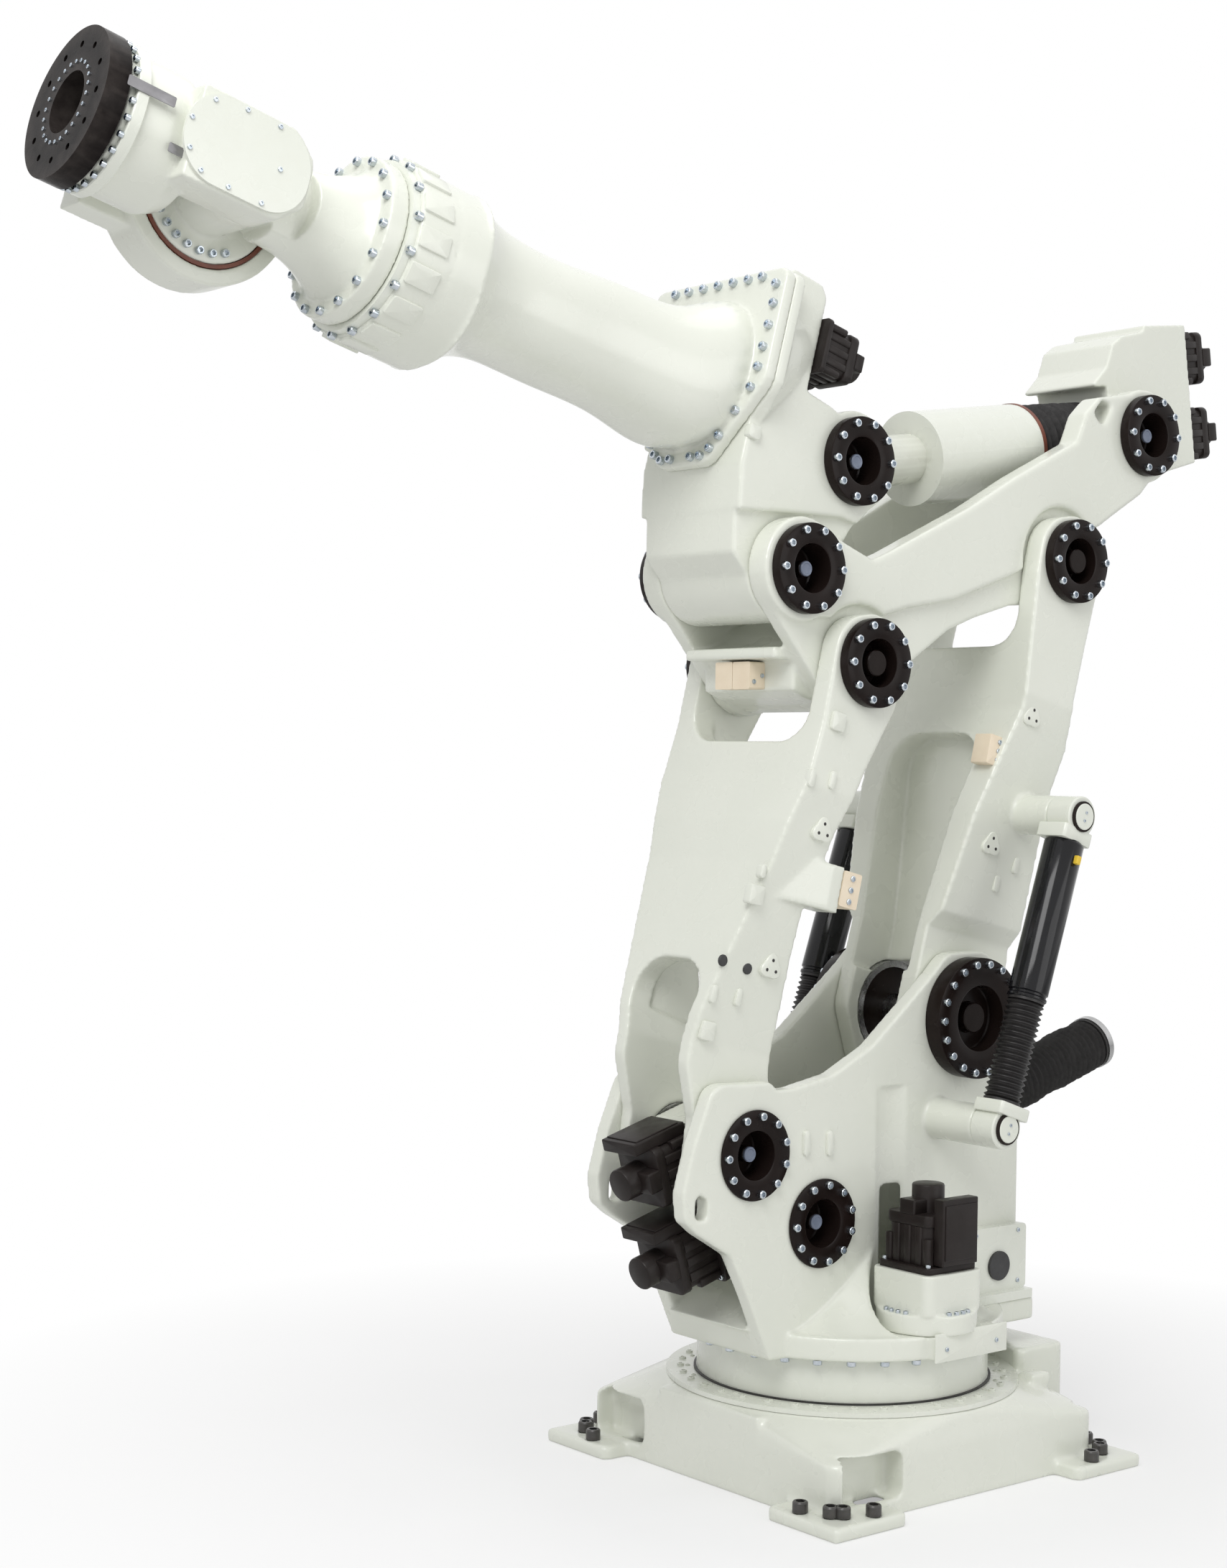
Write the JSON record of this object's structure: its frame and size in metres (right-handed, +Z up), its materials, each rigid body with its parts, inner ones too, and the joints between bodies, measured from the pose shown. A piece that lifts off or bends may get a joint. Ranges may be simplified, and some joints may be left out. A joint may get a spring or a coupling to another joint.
{
  "type": "heavy-payload articulated robot arm",
  "caption": "Floor-standing articulated arm with a parallel link lower arm, two ball screw drives, gas balancers and a hollow tool flange.",
  "frame": {"origin": "centre of the base on the floor, on axis 1", "axes": "+X to the robot's front, +Y to its left, +Z up along axis 1"},
  "size_m": [4.3868, 1.284, 3.8443],
  "materials": {
    "paint": "off-white semi-gloss enamel with a faint green tint",
    "black_caps": "gloss black-brown coating",
    "zinc_bolts": "bright zinc plating",
    "black_bolts": "black oxide",
    "bearing_steel": "ground steel",
    "motor_black": "satin black paint",
    "ring_grey": "machined and oiled",
    "bellows_black": "coated bellows fabric",
    "boot_rubber": "ribbed rubber",
    "urethane": "beige urethane",
    "seal_red": "red-brown seal",
    "connector": "connector plastic",
    "tool_black": "polished black oxide"
  },
  "bodies": {
    "base": {"base_casting": "paint", "anchor_bolts": "black_bolts", "bearing_outer_ring": "paint", "ring_bolts": "zinc_bolts", "cable_panel": "connector"},
    "turret": {"turret_drum": "paint", "turret_casting": "paint", "drum_bolts": "zinc_bolts", "jt1_housing": "paint", "jt1_motor": "motor_black", "junction_box": "paint", "box_plug": "connector", "turret_pins": "black_caps", "rear_low_pins": "black_caps", "turret_pin_bolts": "zinc_bolts", "balancer_low_pins": "bearing_steel", "cross_shaft": "bearing_steel"},
    "front_link": {"front_link": "paint", "front_link_bearings": "bearing_steel", "front_top_pins": "black_caps", "front_top_bolts": "zinc_bolts", "stop_block": "urethane"},
    "rear_link": {"rear_link": "paint", "rear_link_bearings": "bearing_steel", "rear_top_pins": "black_caps", "rear_top_bolts": "zinc_bolts", "balancer_high_pins": "bearing_steel"},
    "beam": {"beam": "paint", "beam_lug_bearings": "bearing_steel", "beam_pins": "black_caps", "beam_pin_bolts": "zinc_bolts", "beam_stop_blocks": "urethane"},
    "drive2": {"drive2_housing": "paint", "drive2_motors": "motor_black", "drive2_screw": "bearing_steel"},
    "nut2": {"nut2_housing": "paint", "tail_bellows": "bellows_black"},
    "drive3": {"drive3_housing": "paint", "drive3_motors": "motor_black", "drive3_screw": "bearing_steel", "drive3_bellows": "bellows_black"},
    "rod3": {"rod3_tube": "paint", "rod3_band": "seal_red"},
    "balancer_lower": {"balancer_rods": "bearing_steel"},
    "balancer_upper": {"balancer_cylinders": "paint", "balancer_boots": "boot_rubber"},
    "arm": {"elbow_casting": "paint", "elbow_bearings": "bearing_steel", "arm_tube": "paint", "arm_flange_bolts": "zinc_bolts", "rod_pins": "black_caps", "rod_pin_bolts": "zinc_bolts", "wrist_motors": "motor_black", "roll_ring": "ring_grey"},
    "wrist_roll": {"wrist_roll": "paint", "wrist_bolts": "zinc_bolts", "bend_seal": "seal_red"},
    "wrist_bend": {"bend_housing": "paint", "bend_cover": "paint"},
    "tool": {"tool_flange": "tool_black"}
  },
  "joints": [
    {"name": "jt1", "type": "hinge", "parent": "base", "child": "turret", "pos_m": [0, 0, 0.27], "axis": [0, 0, 1], "range_deg": [-180, 180]},
    {"name": "jt2", "type": "hinge", "parent": "turret", "child": "rear_link", "pos_m": [-0.301, 0, 1.341], "axis": [0, 1, 0], "range_deg": [-9, 60]},
    {"name": "front_link_pivot", "type": "hinge", "parent": "turret", "child": "front_link", "pos_m": [0.572, 0, 0.992], "axis": [0, 1, 0], "range_deg": [-9, 60]},
    {"name": "beam_pivot", "type": "hinge", "parent": "rear_link", "child": "beam", "pos_m": [-0.63703, 0, 2.75152], "axis": [0, 1, 0], "range_deg": [-60, 9]},
    {"name": "drive2_pivot", "type": "hinge", "parent": "turret", "child": "drive2", "pos_m": [0.305, 0, 0.771], "axis": [0, 1, 0], "range_deg": [-2, 10]},
    {"name": "nut2_travel", "type": "slide", "parent": "drive2", "child": "nut2", "axis": [-0.9602, 0, 0.2794], "range_m": [-0.055, 0.348], "deforming": ["tail_bellows"]},
    {"name": "balancer_low_pivot", "type": "hinge", "parent": "turret", "child": "balancer_lower", "pos_m": [-0.179, 0, 1.04], "axis": [0, 1, 0], "range_deg": [-7, 42]},
    {"name": "balancer_high_pivot", "type": "hinge", "parent": "rear_link", "child": "balancer_upper", "pos_m": [-0.49615, 0, 1.96167], "axis": [0, 1, 0], "range_deg": [-20, 3.5], "deforming": ["balancer_boots"]},
    {"name": "jt3", "type": "hinge", "parent": "beam", "child": "arm", "pos_m": [0.46447, 0, 2.66452], "axis": [0, 1, 0], "range_deg": [-15, 85]},
    {"name": "drive3_pivot", "type": "hinge", "parent": "beam", "child": "drive3", "pos_m": [-1.03803, 0, 3.18452], "axis": [0, 1, 0], "range_deg": [-3.5, 0.7]},
    {"name": "rod3_travel", "type": "slide", "parent": "drive3", "child": "rod3", "axis": [0.9889, 0, -0.1488], "range_m": [-0.097, 0.544], "deforming": ["drive3_bellows"]},
    {"name": "jt4", "type": "hinge", "parent": "arm", "child": "wrist_roll", "pos_m": [1.80365, 0, 3.43126], "axis": [0.9659, 0, 0.2588], "range_deg": [-360, 360]},
    {"name": "jt5", "type": "hinge", "parent": "wrist_roll", "child": "wrist_bend", "pos_m": [2.19002, 0, 3.53478], "axis": [0, 1, 0], "range_deg": [-105, 105]},
    {"name": "jt6", "type": "hinge", "parent": "wrist_bend", "child": "tool", "pos_m": [2.57639, 0, 3.63831], "axis": [0.9659, 0, 0.2588], "range_deg": [-360, 360]}
  ],
  "couplings": [
    {"joint": "front_link_pivot", "follows": "jt2", "ratio": 1},
    {"joint": "beam_pivot", "follows": "jt2", "ratio": -1},
    {"joint": "drive2_pivot", "follows": "jt2", "ratio": 0.16},
    {"joint": "nut2_travel", "follows": "jt2", "m_per_rad": 0.3283},
    {"joint": "balancer_low_pivot", "follows": "jt2", "ratio": 0.683},
    {"joint": "balancer_high_pivot", "follows": "jt2", "ratio": -0.317},
    {"joint": "drive3_pivot", "follows": "jt3", "ratio": -0.04},
    {"joint": "rod3_travel", "follows": "jt3", "m_per_rad": 0.36555}
  ]
}
